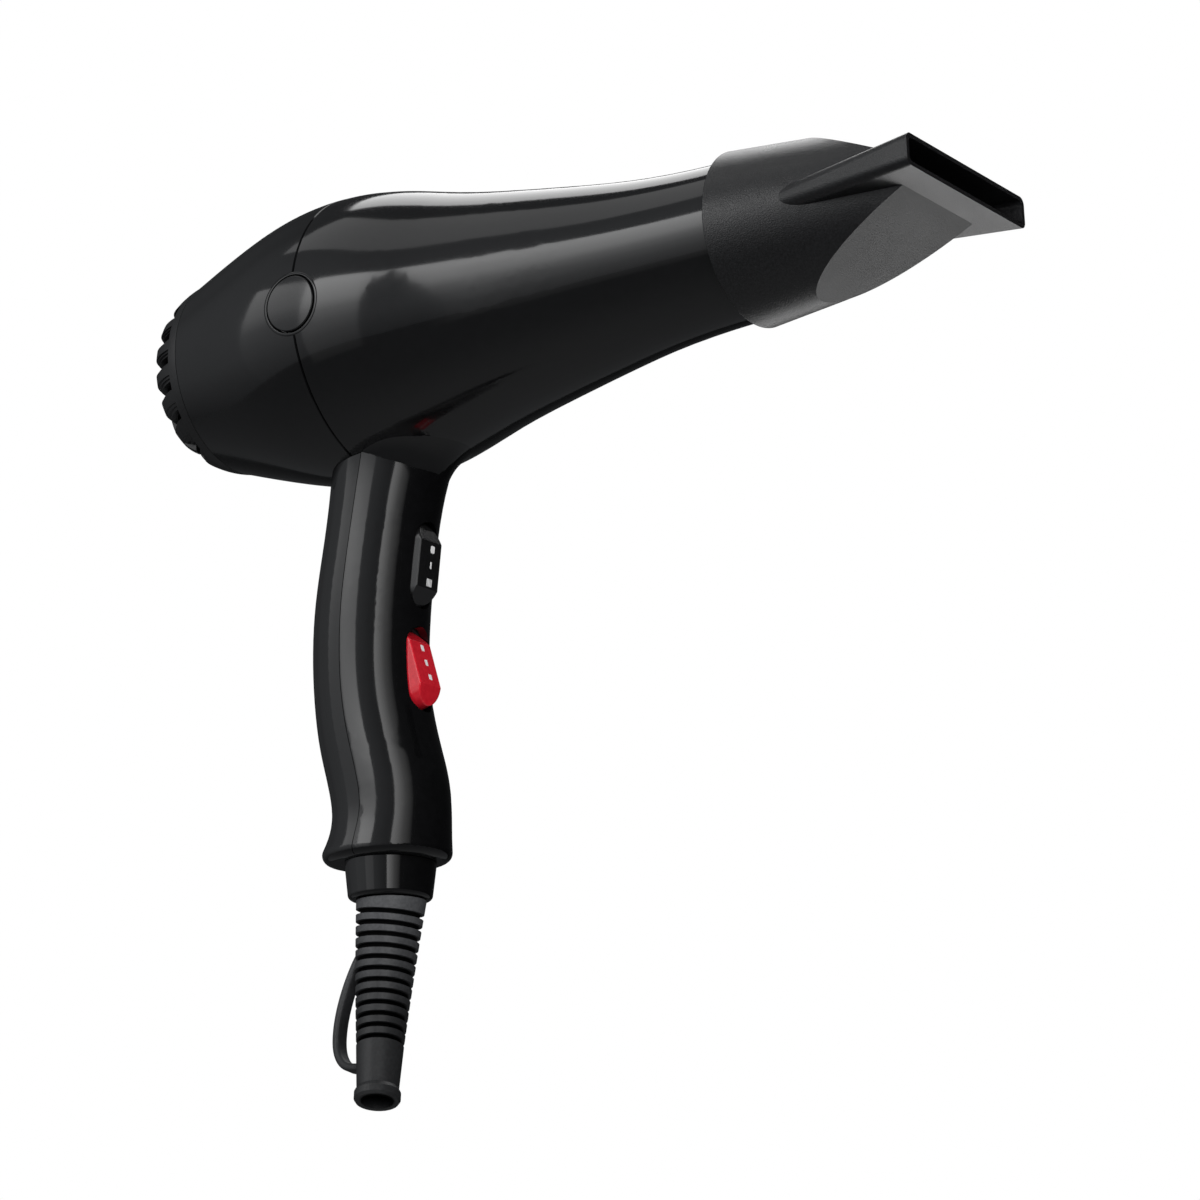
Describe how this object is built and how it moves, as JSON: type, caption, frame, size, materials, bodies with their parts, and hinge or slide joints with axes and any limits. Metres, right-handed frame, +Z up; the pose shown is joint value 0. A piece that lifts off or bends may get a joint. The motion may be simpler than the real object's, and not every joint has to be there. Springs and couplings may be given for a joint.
{
  "type": "hair dryer",
  "caption": "Pistol-grip hair dryer with a flared rear barrel, louvred removable intake, two handle rockers, a ribbed cord boot with a hanging loop and a removable flat concentrator nozzle.",
  "frame": {"origin": "on the barrel axis, 8.2 mm in front of the joint between the two barrel shells, above the top of the handle", "axes": "+X runs forward along the barrel to the air outlet, +Z is up, +Y is the left of a person holding it with the outlet forward"},
  "size_m": [0.2736, 0.0872, 0.2758],
  "materials": {
    "gloss_black": "polished black moulding",
    "cap_black": "black disc",
    "nozzle_black": "fine-grained heat-resistant black",
    "grille_black": "satin black",
    "rubber_dark": "matt rubber",
    "rocker_black": "satin black",
    "rocker_red": "glossy red",
    "inner_black": "moulded black",
    "inner_white": "heat-resistant off-white",
    "steel": "plain steel",
    "zinc": "zinc plated",
    "spring_steel": "bright wire",
    "brass": "plain brass",
    "copper": "enamelled copper wire",
    "nichrome": "resistance wire",
    "mica": "mica sheet",
    "carbon": "graphite",
    "lamination": "stacked laminations",
    "mesh": "perforated sheet",
    "wire": "silicone insulated wire",
    "capacitor": "moulded yellow"
  },
  "bodies": {
    "main_body": {"air_guide": "inner_black", "brush_holders": "brass", "brush_springs": "spring_steel", "carbon_brushes": "carbon", "closed_end_splices": "inner_white", "cord_boot": "rubber_dark", "cord_clamp": "inner_black", "cord_clamp_screws": "zinc", "front_housing": "gloss_black", "front_motor_bracket": "steel", "handle_back_cover": "gloss_black", "handle_end_collar": "gloss_black", "handle_screws": "zinc", "hanging_loop": "rubber_dark", "heat_switch_body": "inner_black", "heat_switch_terminals": "brass", "heater_coil_high": "nichrome", "heater_coil_low": "nichrome", "heater_terminals": "brass", "lead_wires": "wire", "mica_cross": "mica", "mica_tube": "mica", "motor_bearings": "steel", "motor_bolts": "zinc", "motor_stator": "lamination", "motor_vibration_rings": "rubber_dark", "outlet_grille": "mesh", "rear_housing": "gloss_black", "rear_motor_bracket": "steel", "side_cap_left": "cap_black", "side_cap_right": "cap_black", "side_screws": "zinc", "speed_switch_body": "inner_black", "speed_switch_terminals": "brass", "stator_windings": "copper", "suppressor_capacitor": "capacitor", "thermal_fuse": "steel", "thermostat": "inner_white"},
    "heat_rocker_body": {"heat_rocker": "rocker_black", "heat_plunger": "inner_white", "heat_plunger_spring": "spring_steel"},
    "heat_bridge_body": {"heat_contact_bridge": "copper"},
    "speed_rocker_body": {"speed_rocker": "rocker_red", "speed_plunger": "inner_white", "speed_plunger_spring": "spring_steel"},
    "speed_bridge_body": {"speed_contact_bridge": "copper"},
    "fan_body": {"fan_impeller": "inner_black", "fan_nut": "steel", "motor_shaft": "steel", "motor_rotor": "lamination", "rotor_windings": "copper", "commutator": "copper"},
    "filter_body": {"filter_frame": "inner_black", "filter_mesh": "mesh"},
    "grille_body": {"intake_grille": "grille_black"},
    "grip_ring_body": {"concentrator_grip_ring": "inner_white"},
    "nozzle_body": {"concentrator": "nozzle_black"}
  },
  "joints": [
    {"name": "heat_rock", "type": "hinge", "parent": "main_body", "child": "heat_rocker_body", "pos_m": [0.00103, 0, -0.07246], "axis": [0, 1, 0], "range_deg": [-13, 13]},
    {"name": "heat_bridge_tip", "type": "hinge", "parent": "main_body", "child": "heat_bridge_body", "pos_m": [-0.0052, 0, -0.07153], "axis": [0, 1, 0], "range_deg": [-3.9, 3.9]},
    {"name": "speed_rock", "type": "hinge", "parent": "main_body", "child": "speed_rocker_body", "pos_m": [-0.00137, 0, -0.10454], "axis": [0, 1, 0], "range_deg": [0, 26]},
    {"name": "speed_bridge_tip", "type": "hinge", "parent": "main_body", "child": "speed_bridge_body", "pos_m": [-0.00767, 0, -0.10472], "axis": [0, 1, 0], "range_deg": [-7.8, 0]},
    {"name": "fan_spin", "type": "hinge", "parent": "main_body", "child": "fan_body", "pos_m": [0, 0, 0], "axis": [1, 0, 0], "continuous": true},
    {"name": "filter_slide", "type": "slide", "parent": "main_body", "child": "filter_body", "axis": [-1, 0, 0], "range_m": [0, 0.03]},
    {"name": "grille_turn", "type": "hinge", "parent": "filter_body", "child": "grille_body", "pos_m": [-0.0625, 0, 0], "axis": [1, 0, 0], "range_deg": [0, 25]},
    {"name": "nozzle_slide", "type": "slide", "parent": "main_body", "child": "grip_ring_body", "axis": [1, 0, 0], "range_m": [0, 0.045]},
    {"name": "nozzle_turn", "type": "hinge", "parent": "grip_ring_body", "child": "nozzle_body", "pos_m": [0.1285, 0, 0], "axis": [1, 0, 0], "continuous": true}
  ],
  "couplings": [
    {"joint": "heat_bridge_tip", "follows": "heat_rock", "ratio": -0.3},
    {"joint": "speed_bridge_tip", "follows": "speed_rock", "ratio": -0.3}
  ]
}
